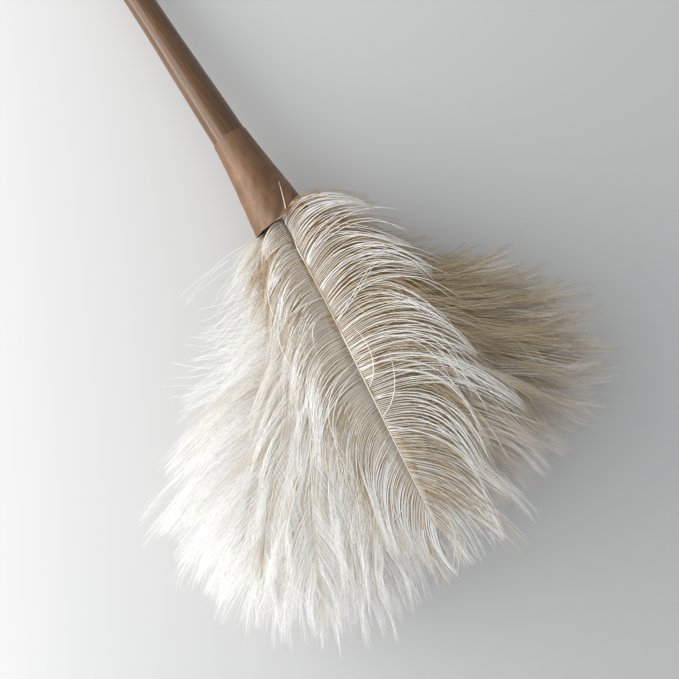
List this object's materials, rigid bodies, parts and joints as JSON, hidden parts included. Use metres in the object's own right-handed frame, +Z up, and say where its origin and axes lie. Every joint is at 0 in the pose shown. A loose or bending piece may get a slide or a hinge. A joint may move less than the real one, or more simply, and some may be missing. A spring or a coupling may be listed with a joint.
{
  "type": "feather duster",
  "caption": "Hand duster with a turned wooden handle, a wrapped leather collar and a fanned bush of long cream-white ostrich plumes, lying on a flat surface.",
  "frame": {"origin": "on the surface that the duster lies on, under the middle of its overall box", "axes": "+X from the handle's butt towards the plumes' tips, +Z up from the surface, +Y to the left when looking along +X"},
  "size_m": [0.5486, 0.3448, 0.0924],
  "materials": {
    "wood": "turned hardwood, waxed, mid brown with fine darker pores along the handle",
    "leather": "smooth tan leather, lightly creased, cut edges paler",
    "twine": "thin natural cotton twine, close wound",
    "feather": "cream-white ostrich plume, silky, tan towards the quill"
  },
  "bodies": {
    "root": {"binding_1": "twine", "binding_2": "twine", "binding_3": "twine", "collar": "leather", "handle": "wood", "plume_1_01": "feather", "plume_1_02": "feather", "plume_1_03": "feather", "plume_1_04": "feather", "plume_1_05": "feather", "plume_1_06": "feather", "plume_1_07": "feather", "plume_1_08": "feather", "plume_1_09": "feather", "plume_1_10": "feather", "plume_1_11": "feather", "plume_1_12": "feather", "plume_2_01": "feather", "plume_2_02": "feather", "plume_2_03": "feather", "plume_2_04": "feather", "plume_2_05": "feather", "plume_2_06": "feather", "plume_2_07": "feather", "plume_2_08": "feather", "plume_2_09": "feather", "plume_2_10": "feather", "plume_2_11": "feather", "plume_2_12": "feather", "plume_2_13": "feather", "plume_2_14": "feather", "plume_2_15": "feather", "plume_3_01": "feather", "plume_3_02": "feather", "plume_3_03": "feather", "plume_3_04": "feather", "plume_3_05": "feather", "plume_3_06": "feather", "plume_3_07": "feather", "plume_3_08": "feather", "plume_3_09": "feather", "plume_3_10": "feather", "plume_3_11": "feather", "plume_3_12": "feather", "plume_3_13": "feather", "plume_3_14": "feather", "plume_3_15": "feather", "plume_3_16": "feather", "plume_3_17": "feather", "plume_3_18": "feather"}
  },
  "joints": []
}
